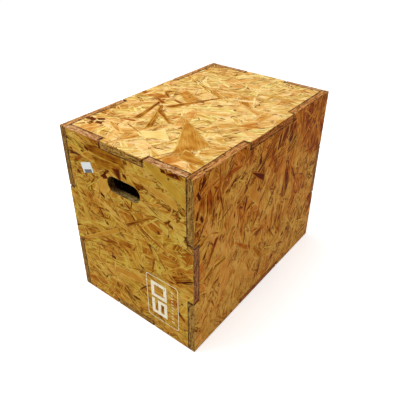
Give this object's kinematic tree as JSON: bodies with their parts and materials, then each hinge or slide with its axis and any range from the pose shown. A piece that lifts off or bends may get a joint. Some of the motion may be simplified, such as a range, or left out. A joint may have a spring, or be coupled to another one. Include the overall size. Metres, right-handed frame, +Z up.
{
  "type": "plyo box",
  "caption": "Hollow wooden jump box of finger-jointed boards with a hand slot in each end, for step-ups and jumps at a choice of heights.",
  "frame": {"origin": "middle of the face that the box rests on in the picture", "axes": "+Z up; +Y from the end with the label to the other hand slot end, along the longest side; +X to the right as seen from the labelled end"},
  "size_m": [0.4, 0.6002, 0.5],
  "materials": {
    "osb_top": "lightly varnished strand board",
    "osb_bottom": "lightly varnished strand board",
    "osb_front": "lightly varnished strand board",
    "osb_rear": "lightly varnished strand board",
    "osb_left": "lightly varnished strand board",
    "osb_right": "lightly varnished strand board",
    "osb_brace": "raw strand board",
    "nail_steel": "bright drawn wire",
    "label_paper": "matt white paper",
    "mark_paint": "matt white screen print"
  },
  "bodies": {
    "root": {"top_panel": "osb_top", "bottom_panel": "osb_bottom", "front_panel": "osb_front", "rear_panel": "osb_rear", "left_side_panel": "osb_left", "right_side_panel": "osb_right", "centre_brace": "osb_brace", "left_side_nails": "nail_steel", "right_side_nails": "nail_steel", "front_panel_nails": "nail_steel", "rear_panel_nails": "nail_steel", "top_panel_nails": "nail_steel", "bottom_panel_nails": "nail_steel", "blank_label": "label_paper"}
  },
  "joints": []
}
